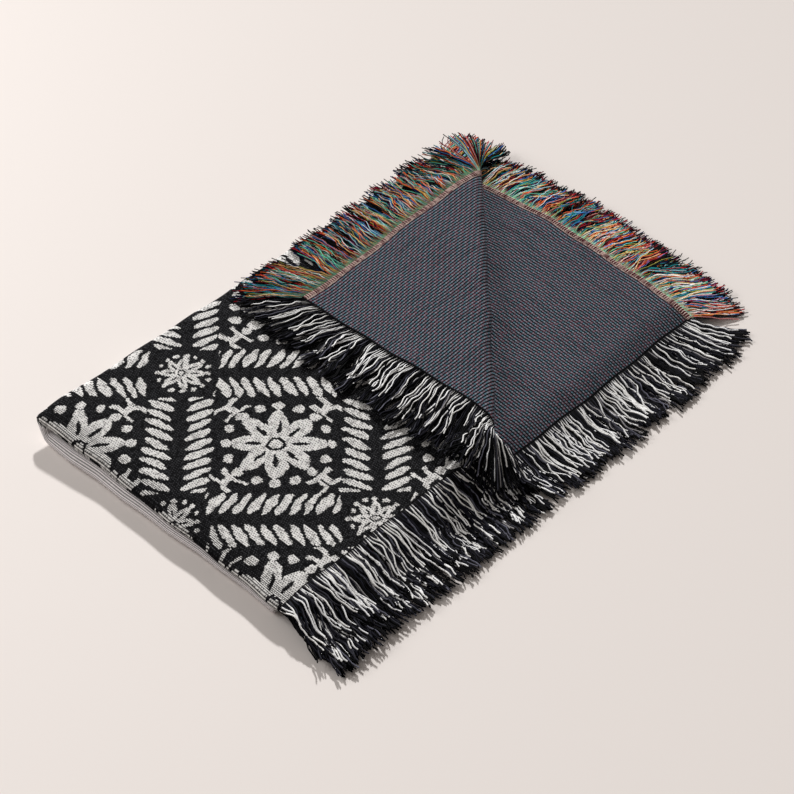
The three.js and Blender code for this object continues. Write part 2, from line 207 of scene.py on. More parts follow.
class Wire:  # one shader socket, so that maths reads as plain expressions
    def __init__(self, tree, socket=None):
        self.tree = tree
        self.socket = socket

    def make(self, kind, settings=None, inputs=None, output=0):
        node = self.tree.nodes.new(kind)
        for name, value in (settings or {}).items():
            setattr(node, name, value)
        for key, value in (inputs or {}).items():
            if isinstance(value, Wire):
                self.tree.links.new(value.socket, node.inputs[key])
            else:
                node.inputs[key].default_value = value
        return Wire(self.tree, node.outputs[output])

    def maths(self, operation, *values):
        return self.make("ShaderNodeMath", {"operation": operation}, dict(enumerate((self, *values))))

    def __add__(self, other):
        return self.maths("ADD", other)

    def __radd__(self, other):
        return self.maths("ADD", other)

    def __sub__(self, other):
        return self.maths("SUBTRACT", other)

    def __rsub__(self, other):
        return self.make("ShaderNodeMath", {"operation": "SUBTRACT"}, {0: other, 1: self})

    def __mul__(self, other):
        return self.maths("MULTIPLY", other)

    def __rmul__(self, other):
        return self.maths("MULTIPLY", other)

    def __truediv__(self, other):
        return self.maths("DIVIDE", other)

    def __abs__(self):
        return self.maths("ABSOLUTE")

    def __lt__(self, other):
        return self.maths("LESS_THAN", other)

    def __gt__(self, other):
        return self.maths("GREATER_THAN", other)

    def floor(self):
        return self.maths("FLOOR")

    def fract(self):
        return self.maths("FRACT")

    def most(self, other):
        return self.maths("MAXIMUM", other)

    def least(self, other):
        return self.maths("MINIMUM", other)

    def away(self, period):  # signed distance from the nearest multiple of period
        return ((self / period + 0.5).fract() - 0.5) * period

    def blend(self, low, high):  # self is the factor between two colours
        return self.make("ShaderNodeMix", {"data_type": "RGBA"}, {0: self, 6: low, 7: high}, 2)

    def ramp(self, low, high):  # 0 below low, 1 above high, smooth between
        settings = {"interpolation_type": "SMOOTHSTEP"}
        return self.make("ShaderNodeMapRange", settings, {0: self, 1: low, 2: high, 3: 0.0, 4: 1.0})

    def stripe(self):  # 0 in the middle of each unit cell, 1 at its ends
        return abs(self.fract() - 0.5) * 2

    def point(self, other, third=0.0):  # a place made of numbers
        return self.make("ShaderNodeCombineXYZ", None, {0: self, 1: other, 2: third})

    def random(self, other, third=0.0):  # one random value for each cell
        settings = {"noise_dimensions": "3D"}
        return self.make("ShaderNodeTexWhiteNoise", settings, {0: self.point(other, third)})

    def noise(self, scale, detail=2.0, roughness=0.5, dimensions="2D"):  # self is a place
        values = {"Vector": self, "Scale": scale, "Detail": detail, "Roughness": roughness}
        return self.make("ShaderNodeTexNoise", {"noise_dimensions": dimensions}, values)


def colour(red, green, blue):  # screen values 0 to 255 to a linear shader colour
    screen = [value / 255 for value in (red, green, blue)]
    linear = [c / 12.92 if c <= 0.04045 else ((c + 0.055) / 1.055) ** 2.4 for c in screen]
    return (*linear, 1.0)


def startMaterial(name, roughness, shine=0.08):
    material = bpy.data.materials.new(name)
    material.use_nodes = True
    tree = material.node_tree
    shader = tree.nodes["Principled BSDF"]
    shader.inputs["Roughness"].default_value = roughness
    shader.inputs["Specular IOR Level"].default_value = shine
    return material, Wire(tree), shader


def finishMaterial(start, shader, base, height, depth):
    tree = start.tree
    tree.links.new(base.socket, shader.inputs["Base Color"])
    bump = start.make("ShaderNodeBump", None, {"Strength": 1.0, "Distance": depth, "Height": height})
    tree.links.new(bump.socket, shader.inputs["Normal"])


def flatPlace(start):  # the flat sheet's own place in metres, and its millimetres
    place = start.make("ShaderNodeUVMap", {"uv_map": "flat"})
    x = place.make("ShaderNodeSeparateXYZ", None, {0: place}, 0)
    y = Wire(start.tree, x.socket.node.outputs[1])
    return place, x * 1000, y * 1000


# The patterned face; its lengths are in millimetres on the flat sheet
face = {
    "rowPitch": 1.9,
    "stitchPitch": 1.5,
    "meshPitch": 2.8,
    "poreRim": (0.38, 0.18),
    "poreShare": (0.05, 0.4),
    "driftScale": 55.0,
    "drift": 7.0,
    "lumpScale": 150.0,
    "relief": 0.0006,  # in metres
    "turned": 0.70711,  # the lattice lies at 45 degrees
    "lattice": 215.0,
    "crossing": 38.0,
    "leafPitch": 14.5,
    "leafSlant": 0.5,
    "leafMiddle": 22.0,
    "leafLong": 15.0,
    "leafWide": 5.25,
    "bandEdge": 60.0,
    "bandLine": 3.6,
    "zigzagIn": 8,
    "zigzagPitch": 24.0,
    "zigzagSlope": 0.8,
    "rosette": 1.2,
    "littleRosette": 0.6,
    "rosetteReach": 53.0,
    "petals": 8,
    "petalMiddle": 25.0,
    "petalLong": 17.0,
    "petalWide": 9.2,
    "veinMiddle": 21.0,
    "veinLong": 8.0,
    "veinWide": 1.9,
    "heart": 5.5,
    "dotsAt": 47.0,
    "dotSquare": 24.0,
    "plainReach": 389.0,
    "plainWide": 15.0,
    "plainNarrow": 0.4,
    "plainTaper": (10.0, 150.0),
    "ribReach": 27.0,
    "finePitch": 0.95,
    "white": colour(240, 238, 235),
    "whiteShade": colour(138, 136, 134),
    "plain": colour(250, 243, 243),
    "speck": colour(84, 83, 84),
    "black": colour(6, 6, 8),
    "blackLight": colour(70, 70, 73),
}


def oval(x, y, long, wide):  # under 1 inside it
    return (x / long).maths("POWER", 2.0) + (y / wide).maths("POWER", 2.0)


def leafBand(across, along):  # slanting leaves on both sides of a line, with a zigzag outside them
    f = face
    d = abs(across.away(f["lattice"]))
    free = abs(along.away(f["lattice"])) > f["crossing"]
    slant = (along + d * f["leafSlant"]).away(f["leafPitch"])
    leaf = oval(d - f["leafMiddle"], slant, f["leafLong"], f["leafWide"]) < 1.0
    zigzag = d - f["bandEdge"] + f["zigzagIn"] - abs(along.away(f["zigzagPitch"])) * f["zigzagSlope"]
    return leaf.most(abs(zigzag) < f["bandLine"]) * free


def rosette(dx, dy, size):  # its petals, heart and ring of dots, and the ground that it takes
    f = face
    rho = (dx * dx + dy * dy).maths("SQRT") / size
    theta = dy.maths("ARCTAN2", dx)
    side = theta.away(2 * math.pi / f["petals"]) * rho
    petal = oval(rho - f["petalMiddle"], side, f["petalLong"], f["petalWide"])
    vein = oval(rho - f["veinMiddle"], side, f["veinLong"], f["veinWide"])
    aside = theta.away(math.pi / f["petals"]) * rho
    dots = (rho - f["dotsAt"]).maths("POWER", 2.0) + aside.maths("POWER", 2.0)
    flower = ((petal < 1.0) * (vein > 1.0)).most(rho < f["heart"]).most(dots < f["dotSquare"])
    return flower, rho < f["rosetteReach"]


def faceMotifs(x, y):  # leaf bands on a diagonal lattice with a rosette in each diamond
    p = (x + y) * face["turned"]
    q = (x - y) * face["turned"]
    period = face["lattice"]
    mask = leafBand(p, q).most(leafBand(q, p))
    for shift, size in ((period / 2, face["rosette"]), (0.0, face["littleRosette"])):
        flower, inside = rosette((p - shift).away(period), (q - shift).away(period), size)
        mask = (mask * (1 - inside)).most(flower * inside)
    return mask


def facePores(x, y):  # a finer mesh of pores lies over both colours
    f = face
    row = (x / f["meshPitch"]).floor()
    place = y / f["meshPitch"] + row * 0.5
    across = (x / f["meshPitch"]).fract() - 0.5
    along = place.fract() - 0.5
    pore = (across * across + along * along).maths("SQRT")
    return pore.ramp(*f["poreRim"]) * row.random(place.floor(), 2.0).ramp(*f["poreShare"])


def faceAtFold(x, y, groove, base):  # rows part along the left fold, and the ground below it is plain
    f = face
    ribs = abs(x).ramp(f["ribReach"], f["ribReach"] * 0.6) * groove.ramp(0.35, 0.8) * 0.85
    base = ribs.blend(base, f["black"])
    narrow = abs(y).ramp(*f["plainTaper"]) * (1 - f["plainNarrow"]) + f["plainNarrow"]
    plain = (abs(x) / narrow < f["plainWide"]) * (abs(y) < f["plainReach"])
    lines = (x / f["finePitch"]).stripe().ramp(0.3, 0.9) * 0.9
    return plain.blend(base, lines.blend(f["plain"], f["speck"]))


def makeFaceMaterial():
    material, start, shader = startMaterial("clothFace", 0.95)
    place, x, y = flatPlace(start)
    f = face
    row = (x / f["rowPitch"]).floor()
    along = y / f["stitchPitch"] + row * 0.5
    stitch = along.floor()
    drift = (place.noise(f["driftScale"], 1.0) - 0.5) * f["drift"]
    cell = row.random(stitch)
    motif = faceMotifs(
        (row + 0.5) * f["rowPitch"] + drift,
        (stitch - row * 0.5 + 0.5) * f["stitchPitch"] + drift,
    )
    groove = (x / f["rowPitch"]).stripe()
    hole = facePores(x, y)
    lumps = place.noise(f["lumpScale"], 3.0, 0.7)
    # The white darkens in random mottled patches and per stitch, and also in the grooves between rows; the
    # darkening in the grooves is painted shade
    mottleAndPaintedGrooveShade = lumps.ramp(0.48, 0.75) * 0.7 + groove.maths("POWER", 2.0) * 0.35 + cell * 0.1
    white = mottleAndPaintedGrooveShade.least(1.0).blend(f["white"], f["whiteShade"])
    white = (hole * 0.85).blend(white, f["speck"])
    light = hole * 0.55 + cell.ramp(0.6, 1.0) * (1 - along.stripe()) * 0.5
    black = light.least(1.0).blend(f["black"], f["blackLight"])
    base = faceAtFold(x, y, groove, motif.blend(black, white))
    height = motif * 0.9 + (1 - groove.maths("POWER", 2.0)) * 0.5 - hole * 0.6 + lumps * 0.8
    finishMaterial(start, shader, base, height, f["relief"])
    return material


# The reverse; its lengths are in millimetres on the flat sheet
reverse = {
    "rowPitch": 3.75,
    "yarnEdge": (0.64, 0.38),
    "dash": 3.3,
    "dashBend": 0.25,
    "slip": 0.36,
    "streaks": (0.9, 0.012),  # how fast they change from row to row, and along a row
    "relief": 0.0007,  # in metres
    "selvedgeWide": 7.5,
    "ribPitch": 1.7,
    "ribSlant": 0.3,
    "wear": (0.8, 0.14),  # across the selvedge and along it
    "endWide": 1.6,
    "pale": colour(127, 132, 143),
    "teal": colour(86, 116, 129),
    "mauve": colour(120, 106, 118),
    "navy": colour(11, 13, 21),
    "black": colour(9, 10, 15),
    "maroon": colour(92, 34, 48),
    "selvedge": colour(204, 186, 174),
    "selvedgeShade": colour(98, 62, 66),
}


def reverseEdges(x, y, cell, base):  # a pale ribbed selvedge along the sides, a dark line at both ends
    r = reverse
    edge = halfWidth * 1000 - abs(x)
    ribs = (y / r["ribPitch"] + edge * r["ribSlant"]).stripe()
    worn = (edge * r["wear"][0]).point(y * r["wear"][1]).noise(1.0)
    shade = ribs * 0.3 + cell * 0.25 + worn.ramp(0.38, 0.66) * 0.8
    selvedge = shade.least(1.0).blend(r["selvedge"], r["selvedgeShade"])
    base = (edge < r["selvedgeWide"]).blend(base, selvedge)
    return (halfLength * 1000 - abs(y) < r["endWide"]).blend(base, r["black"])


def makeReverseMaterial():
    material, start, shader = startMaterial("clothReverse", 0.92)
    place, x, y = flatPlace(start)
    r = reverse
    row = (x / r["rowPitch"]).floor()
    across = (x / r["rowPitch"]).stripe()
    dashPlace = y / r["dash"] + row * r["slip"] + across * r["dashBend"]
    number = dashPlace.floor()
    dash = dashPlace.stripe()
    cell = row.random(number)
    streak = (row * r["streaks"][0]).point(y * r["streaks"][1]).noise(1.0, 1.0)
    turn = ((number + row) / 3).fract()
    pale = (turn < 0.3).blend(r["pale"], r["teal"])
    pale = (turn > 0.6).blend(pale, r["mauve"])
    pale = (dash.ramp(0.62, 1.0) * 0.75).blend(pale, r["navy"])
    gap = (cell > 0.5).blend(r["navy"], r["black"])
    gap = ((cell < 0.28) * (dash < 0.5)).blend(gap, r["maroon"])
    line = across.ramp(*r["yarnEdge"]) * (1 - streak.ramp(0.5, 0.8) * 0.35)
    base = reverseEdges(x, y, cell, line.blend(gap, pale))
    height = line * (1 - dash * 0.5) + cell * 0.15
    finishMaterial(start, shader, base, height, r["relief"])
    return material


yarnFinish = {"fuzzScale": 900.0, "fuzz": (0.5, 0.9), "shade": colour(16, 14, 16), "relief": 0.0004}


def makeYarnMaterial(name):  # the yarn's own colour is an attribute of each strand
    material, start, shader = startMaterial(name, 0.9)
    tint = start.make("ShaderNodeAttribute", {"attribute_name": "tint"})
    place = start.make("ShaderNodeTexCoord", None, None, 3)
    fuzz = place.noise(yarnFinish["fuzzScale"], dimensions="3D")
    base = fuzz.ramp(*yarnFinish["fuzz"]).blend(tint, yarnFinish["shade"])
    finishMaterial(start, shader, base, fuzz, yarnFinish["relief"])
    return material


def stops(low, high, step):
    count = max(1, round((high - low) / step))
    return list(np.linspace(low, high, count + 1))


# Where the flat sheet goes into each fold and comes out of it
backHalf = quarter * backRadius
backBefore = foldAt + backFoldAt - quarter * foldRadius - backHalf
backAfter = foldAt + backFoldAt - quarter * foldRadius + backHalf
farBefore = foldAt - backFoldAt + quarter * foldRadius - backHalf
farAfter = foldAt - backFoldAt + quarter * foldRadius + backHalf
foldBefore = foldAt - quarter * foldRadius
foldAfter = foldAt + quarter * foldRadius
crossBefore = crossAt - quarter * crossRadius
crossAfter = crossAt + quarter * crossRadius

cloth = {
    "fine": 0.007,
    "coarse": 0.022,
    "around": 12,
    "sameWithin": 1e-5,
    "sharpFrom": 55,
    "ripple": 0.00035,
    "rippleU": (61, 1.3, 23),  # its waves, and how far and how fast they wander
    "rippleV": (47, 1.1, 31),
}


def cutLines(low, high, folds, steps):  # even lines over each run of the sheet, closer round each fold
    lines = [low]
    for (before, after), step in zip(folds, steps):
        lines += stops(lines[-1], before, step)[1:]
        lines += list(np.linspace(before, after, cloth["around"] + 1))[1:]
    return lines + stops(lines[-1], high, steps[-1])[1:]


def flatSheet():  # the flat sheet's faces, cut along every fold and crease
    fine, coarse = cloth["fine"], cloth["coarse"]
    folds = [(backBefore, backAfter), (foldBefore, foldAfter), (farBefore, farAfter)]
    uLines = cutLines(-halfWidth, halfWidth, [(crossBefore, crossAfter)], (fine, coarse))
    vLines = cutLines(-halfLength, halfLength, folds, (fine, coarse, coarse, fine))
    grid = bmesh.new()
    points = [[grid.verts.new((u, v, 0)) for v in vLines] for u in uLines]
    for i in range(len(uLines) - 1):
        for j in range(len(vLines) - 1):
            grid.faces.new((points[i][j], points[i + 1][j], points[i + 1][j + 1], points[i][j + 1]))
    for across in np.linspace(creaseStart, creaseEnd, cloth["around"] + 1):
        total = diagonal(across)
        bmesh.ops.bisect_plane(
            grid,
            geom=grid.verts[:] + grid.edges[:] + grid.faces[:],
            dist=cloth["sameWithin"],
            plane_co=(total / 2, total / 2, 0),
            plane_no=Vector((1, 1, 0)).normalized(),
        )
    return grid


def diagonal(across):  # u + v along a line of the turned corner
    x0 = crossRadius + foldRadius + halfThick - sideEdge - quarter * crossRadius + crossAt
    y0 = quarter * (foldRadius + backRadius) - foldAt - backFoldAt - halfStack - frontEdge
    return x0 - y0 - across * math.sqrt(2)


def wander(along, across, wave):
    quick, reach, slow = wave
    return np.sin(along * quick + reach * np.sin(across * slow))


def placeSheet(u, v, w):
    ripple = wander(u, v, cloth["rippleU"]) * wander(v, u, cloth["rippleV"])
    x, y, z = settle(*fold(u, v, w + cloth["ripple"] * ripple))
    return np.stack([x, y, np.maximum(z, 0)], axis=1)


def makeCloth():
    grid = flatSheet()
    grid.verts.index_update()
    flat = np.array([v.co[:2] for v in grid.verts])
    count = len(flat)
    faces = [[v.index for v in f.verts] for f in grid.faces]
    ways = {(a, b) for f in faces for a, b in zip(f, f[1:] + f[:1])}
    rim = [[v.index for v in e.verts] for e in grid.edges if len(e.link_faces) == 1]
    rim = [(a, b) if (a, b) in ways else (b, a) for a, b in rim]
    grid.free()
    upper = placeSheet(flat[:, 0], flat[:, 1], halfThick)
    lower = placeSheet(flat[:, 0], flat[:, 1], -halfThick)
    patterned = [f[::-1] for f in faces]
    plain = [[i + count for i in f] for f in faces]
    walls = [[b + count, a + count, a, b] for a, b in rim]
    mesh = bpy.data.meshes.new("cloth_sheet")
    mesh.from_pydata(np.concatenate([upper, lower]).tolist(), [], patterned + plain + walls)
    slots = [0] * len(patterned) + [1] * (len(plain) + len(walls))
    mesh.polygons.foreach_set("material_index", slots)
    uvLayer = mesh.uv_layers.new(name="flat")
    loops = np.empty(len(mesh.loops), dtype=np.int32)
    mesh.loops.foreach_get("vertex_index", loops)
    uvLayer.data.foreach_set("uv", flat[loops % count].ravel())
    mesh.shade_smooth()
    mesh.set_sharp_from_angle(angle=math.radians(cloth["sharpFrom"]))
    mesh.materials.append(makeFaceMaterial())
    mesh.materials.append(makeReverseMaterial())
    piece = bpy.data.objects.new("cloth_sheet", mesh)
    bpy.context.collection.objects.link(piece)
    print("cloth", len(mesh.polygons), "faces")
    return piece


def besideEdge(edge, at, s, out):  # points at s along an edge, and out beyond it, once folded
    if edge == "side":
        return np.stack(fold(at * (halfWidth + out), s, np.zeros_like(s)), axis=1)
    return np.stack(fold(s, at * (halfLength + out), np.zeros_like(s)), axis=1)


def unit(a):
    return a / np.maximum(np.linalg.norm(a, axis=1, keepdims=True), 1e-9)


# Where the turned corner's curl crosses each edge
sideCurl = (diagonal(creaseEnd) + halfWidth, diagonal(creaseStart) + halfWidth)
frontCurl = (diagonal(creaseEnd) + halfLength, diagonal(creaseStart) + halfLength)

fringe = {
    "length": 0.075,
    "ownReach": (0.86, 1.02),
    "clump": 0.0125,
    "clumpReach": 0.0025,
    "fanOut": 0.45,
    "fanLength": 0.045,
    "denseReach": 0.06,
    "rulerSteps": 400,
    "colourStep": 0.618,
    "paleFrom": 0.7,
    "rootGap": 0.0002,
    "rootBack": 0.0008,
    "rootStep": 0.0005,
    "level": 0.0006,
    "loft": 0.0016,
    "loftShare": (-0.3, 1.0),
    "curlRise": 0.019,
    "curlReach": 0.025,
    "flapBefore": 0.02,
    "flapFade": 0.035,
    "droopFrom": 0.047,
    "droop": 0.42,
    "sides": 3,
    "girth": (0.75, 1.25),
    "taperAt": (0, 0.15, 0.8, 1),
    "taper": (0.9, 1.0, 0.95, 0.5),
    "brightest": 0.98,
    "dyed": (0.3, 1.7),
}

denseEnd = crossAfter + fringe["denseReach"]

# Each run: from, to, strands per metre, fan at its start and its end, how far all and pale yarns reach
sideOuterRuns = [
    (-halfLength, sideCurl[0], 2300, 1.8, 0.3, 1.1, 1.0),
    (sideCurl[0], sideCurl[1], 2400, 0, 0, 1.05, 1.0),
    (sideCurl[1], backBefore, 1500, 0, 0.6, 1.0, 1.0),
    (backAfter, foldBefore, 400, 0.6, 0, 1.0, 1.0),
    (foldAfter, farBefore, 500, 0, 0.6, 1.0, 1.0),
    (farAfter, halfLength, 2100, 0.6, 1.35, 1.0, 1.0),
]
sideInnerRuns = [
    (-halfLength, backBefore, 500, 0.6, 0.6, 1.0, 1.0),
    (backAfter, foldBefore, 400, 0.6, 0, 1.0, 1.0),
    (foldAfter, farBefore, 400, 0, 0.6, 1.0, 1.0),
    (farAfter, halfLength, 800, 0.6, 0.6, 1.0, 1.0),
]
frontOuterRuns = [
    (-halfWidth, frontCurl[0], 1450, 1.8, 0.9, 1.0, 0.88),
    (frontCurl[0], frontCurl[1], 3200, 0, 0, 1.0, 0.9),
    (frontCurl[1], crossBefore, 1400, 0, 0.4, 1.0, 1.0),
    (crossBefore, crossAfter, 2000, 0, 0, 1.0, 1.0),
    (crossAfter, denseEnd, 1300, 0.4, 0, 1.0, 1.0),
    (denseEnd, halfWidth, 600, 0, 0.4, 1.0, 1.0),
]
frontInnerRuns = [
    (-halfWidth, crossBefore, 1400, 1.4, 0.4, 1.0, 1.0),
    (crossBefore, crossAfter, 2000, 0, 0, 1.0, 1.0),
    (crossAfter, denseEnd, 1300, 0.4, 0, 1.0, 1.0),
    (denseEnd, halfWidth, 600, 0, 0.4, 1.0, 1.0),
]

# Each yarn: colour, how often it comes, how high it lies and how far it reaches. The first is the dark
# yarn that a dim clump has more of.
brightYarns = [
    (colour(9, 8, 12), 34, 0.0001, 1.0),
    (colour(24, 138, 146), 10, 0.0004, 0.92),
    (colour(108, 204, 176), 7, 0.0007, 0.86),
    (colour(232, 104, 48), 9, 0.0006, 0.92),
    (colour(253, 192, 128), 6, 0.0008, 0.86),
    (colour(182, 34, 48), 8, 0.0002, 0.97),
    (colour(112, 18, 42), 12, 0.0002, 1.0),
    (colour(26, 40, 92), 9, -0.0002, 1.0),
    (colour(58, 116, 184), 7, 0.0004, 0.92),
    (colour(154, 154, 70), 6, 0.0004, 0.88),
    (colour(255, 250, 240), 5, 0.0009, 0.84),
    (colour(168, 210, 222), 5, 0.0008, 0.88),
    (colour(212, 134, 130), 3, 0.0008, 0.88),
]
monoYarns = [
    (colour(5, 5, 7), 48, -0.0002, 1.0),
    # The next three greys are the black yarn again with painted highlight: lighter copies, lying a little
    # higher, that stand in for the lit rims of black yarns
    (colour(26, 26, 35), 20, 0.0002, 0.98),
    (colour(56, 56, 64), 8, 0.0003, 1.0),
    (colour(98, 98, 110), 3, 0.0004, 1.0),
    (colour(255, 254, 251), 15, 0.0014, 0.86),
    (colour(255, 254, 251), 2, 0.0002, 1.0),
    (colour(150, 147, 148), 2, 0.0004, 0.90),
]
brightRoots = [
    colour(100, 184, 150),
    colour(66, 158, 146),
    colour(158, 206, 166),
    colour(168, 180, 110),
    colour(168, 84, 80),
    colour(24, 34, 38),
]
monoRoots = [colour(8, 8, 10), colour(30, 28, 30)]


# How the coloured yarns and the black and white ones lie
bright = {
    "yarns": brightYarns,
    "roots": brightRoots,
    "rootLength": 0.15,
    "change": 0.88,
    "dim": 0.35,
    "points": 15,
    "mixing": 0.06,
    "tone": (0.8, 1.3),
    "crowding": 0.6,
    "reach": 0.95,
    "stray": 0.065,
    "lean": 0.13,
    "stir": 1.2,
    "pull": 0.5,
    "waves": [((0.0004, 0.0020), 0.030, 0.050), ((0.0003, 0.0009), 0.013, 0.021)],
    "radius": 0.00060,
}
mono = {
    "yarns": monoYarns,
    "roots": monoRoots,
    "rootLength": 0.03,
    "change": 0.95,
    "dim": 0.3,
    "points": 19,
    "mixing": 0.05,
    "tone": (0.88, 1.15),
    "crowding": 0.15,
    "reach": 1.0,
    "stray": 0.045,
    "lean": 0.09,
    "stir": 0.9,
    "pull": 0.35,
    "waves": [((0.0006, 0.0028), 0.036, 0.060), ((0.0004, 0.0012), 0.014, 0.024)],
    "radius": 0.00095,
}


def strandRoots(edge, at, s):  # where each yarn leaves the edge and which way it heads
    gap, step = fringe["rootGap"], fringe["rootStep"]
    base = besideEdge(edge, at, s, gap)
    outward = unit(base - besideEdge(edge, at, s, -fringe["rootBack"]))
    sideways = unit(besideEdge(edge, at, s + step, gap) - besideEdge(edge, at, s - step, gap))
    climb = outward[:, 2].copy()
    outward[:, 2] = 0
    return base, unit(outward), sideways, climb


def spreadStrands(run, kind, rng):  # yarns stand closer where they fan out round a corner
    low, high, density, fanFrom, fanTo = run[:5]
    ruler = np.linspace(low, high, fringe["rulerSteps"])
    startFan = np.exp(-(ruler - low) / fringe["fanLength"])
    endFan = np.exp(-(high - ruler) / fringe["fanLength"])
    crowd = np.cumsum(1 + kind["crowding"] * (abs(fanFrom) * startFan + abs(fanTo) * endFan))
    count = int((high - low) * density * crowd[-1] / len(ruler))
    share = (np.arange(count) + rng.random(count)) / count
    return np.interp(share * (crowd[-1] - crowd[0]) + crowd[0], crowd, ruler)


def pickYarns(kind, clump, clumps, rng):  # each colour comes back at about even steps
    count = len(clump)
    often = np.cumsum([row[1] for row in kind["yarns"]]) / sum(row[1] for row in kind["yarns"])
    group = np.cumsum(rng.random(count) < kind["change"])  # neighbours often share a colour
    mixing = rng.normal(0, kind["mixing"], count)[group - group[0]]
    place = (group * fringe["colourStep"] + mixing) % 1
    pick = np.minimum(np.searchsorted(often, place), len(kind["yarns"]) - 1)
    dim = rng.uniform(0, kind["dim"], clumps)[clump]
    return np.where(rng.random(count) < dim, 0, pick)


def crimpStrands(kind, clump, clumps, along, t, rng):  # each yarn's waves, sideways and up
    count = len(clump)
    sway, bob = 0, 0
    for (least, most), shortest, longest in kind["waves"]:
        size = (rng.uniform(least, most, clumps)[clump] * rng.uniform(0.7, 1.3, count))[:, None]
        phase = (rng.uniform(0, 2 * math.pi, clumps)[clump] + rng.normal(0, kind["stir"], count))[:, None]
        length = (rng.uniform(shortest, longest, clumps)[clump] * rng.uniform(0.93, 1.07, count))[:, None]
        angle = 2 * math.pi * along / length + phase
        sway = sway + size * (np.sin(angle) - np.sin(phase)) * smooth(t * 3)[None, :]
        bob = bob + 0.3 * size * np.sin(angle + 1.0)
    return sway, bob


def dyeStrands(kind, pick, t, rng):  # each yarn's colour along it; its root has a colour of its own
    count = len(pick)
    tint = np.array([row[0] for row in kind["yarns"]])[pick] * rng.uniform(*kind["tone"], (count, 1))
    tint = np.minimum(tint, fringe["brightest"])
    root = np.array(kind["roots"])[rng.integers(0, len(kind["roots"]), count)]
    dyed = kind["rootLength"] * rng.uniform(*fringe["dyed"], (count, 1))
    rooted = (1 - smooth(t[None, :] / dyed))[:, :, None]
    return tint[:, None, :] + (root - tint)[:, None, :] * rooted


def layStrands(edge, at, run, curl, kind, rng):  # places, thickness and colour along every yarn of a run
    low, high, _, fanFrom, fanTo, ownReach, paleReach = run
    f = fringe
    palette = kind["yarns"]
    s = spreadStrands(run, kind, rng)
    t = np.concatenate([[0, 0.04], np.linspace(0.1, 1, kind["points"] - 2)])
    count = len(s)
    clump = ((s - low) / f["clump"]).astype(int)
    clumps = clump.max() + 1
    middle = low + (clump + 0.5) * f["clump"]
    pick = pickYarns(kind, clump, clumps, rng)
    level = np.array([row[2] for row in palette])[pick] + rng.uniform(-f["level"], f["level"], count)
    reach = f["length"] * kind["reach"] * ownReach + rng.normal(0, f["clumpReach"], clumps)[clump]
    reach = reach * np.array([row[3] for row in palette])[pick] * rng.uniform(*f["ownReach"], count)
    pale = np.array([min(row[0]) > f["paleFrom"] for row in palette])[pick]
    reach = reach * np.where(pale, paleReach, 1)

    base, outward, sideways, climb = strandRoots(edge, at, s)
    along = reach[:, None] * t[None, :]
    fan = fanTo * np.exp(-(high - s) / f["fanLength"]) - fanFrom * np.exp(-(s - low) / f["fanLength"])
    heading = f["fanOut"] * fan + rng.normal(0, kind["stray"], count)
    lean = rng.normal(0, kind["lean"], clumps)[clump] + rng.normal(0, kind["stray"], count)
    turn = heading[:, None] + lean[:, None] * smooth(t * 1.5)[None, :]
    gather = -kind["pull"] * (s - middle)[:, None] * smooth(t * 1.2)[None, :]
    sway, bob = crimpStrands(kind, clump, clumps, along, t, rng)
    point = base[:, None, :] + outward[:, None, :] * (along * np.cos(turn))[:, :, None]
    point = point + sideways[:, None, :] * (along * np.sin(turn) + gather + sway)[:, :, None]
    height = point[:, :, 2] + climb[:, None] * f["curlRise"] * (1 - np.exp(-along / f["curlReach"]))

    # The flap's fringe comes down on the cloth below
    if curl:
        onFlap = 1 - smooth((s - (curl[0] - f["flapBefore"])) / f["flapFade"])
        rest = topLayer + blanket["flapLift"]
        squeeze = (blanket["flapSqueeze"] - 1) * smooth(along / blanket["sinkLength"])
        height = height + (height - rest) * squeeze * onFlap[:, None]
    lift = rng.uniform(*f["loftShare"], clumps)[clump]
    rough = level[:, None] + f["loft"] * lift[:, None] * np.sin(math.pi * np.minimum(1, t * 1.2))[None, :]
    height = height + (rough + bob) * smooth(t * 4)[None, :]
    x, y, z = settle(point[:, :, 0], point[:, :, 1], height)

    # The highest yarns, at the crease, droop a little
    z = np.minimum(z, f["droopFrom"] + (z - f["droopFrom"]) * f["droop"])
    places = np.stack([x, y, np.maximum(z, 1.3 * kind["radius"])], axis=2)
    thickness = rng.uniform(*f["girth"], count)[:, None] * np.interp(t, f["taperAt"], f["taper"])[None, :]
    return places, thickness, dyeStrands(kind, pick, t, rng)


def groupSockets(tree, inputs):
    made = {}
    for name, kind, value in inputs:
        socket = tree.interface.new_socket(name, in_out="INPUT", socket_type=kind)
        if value is not None:
            socket.default_value = value
        made[name] = socket.identifier
    tree.interface.new_socket("Geometry", in_out="OUTPUT", socket_type="NodeSocketGeometry")
    return made


def nodeAdder(tree):  # adds a node with its settings, and the values or links of its sockets
    def add(kind, settings=None, inputs=None):
        node = tree.nodes.new(kind)
        for key, value in (settings or {}).items():
            setattr(node, key, value)
        for key, value in (inputs or {}).items():
            if isinstance(value, bpy.types.NodeSocket):
                tree.links.new(value, node.inputs[key])
            else:
                node.inputs[key].default_value = value
        return node

    return add


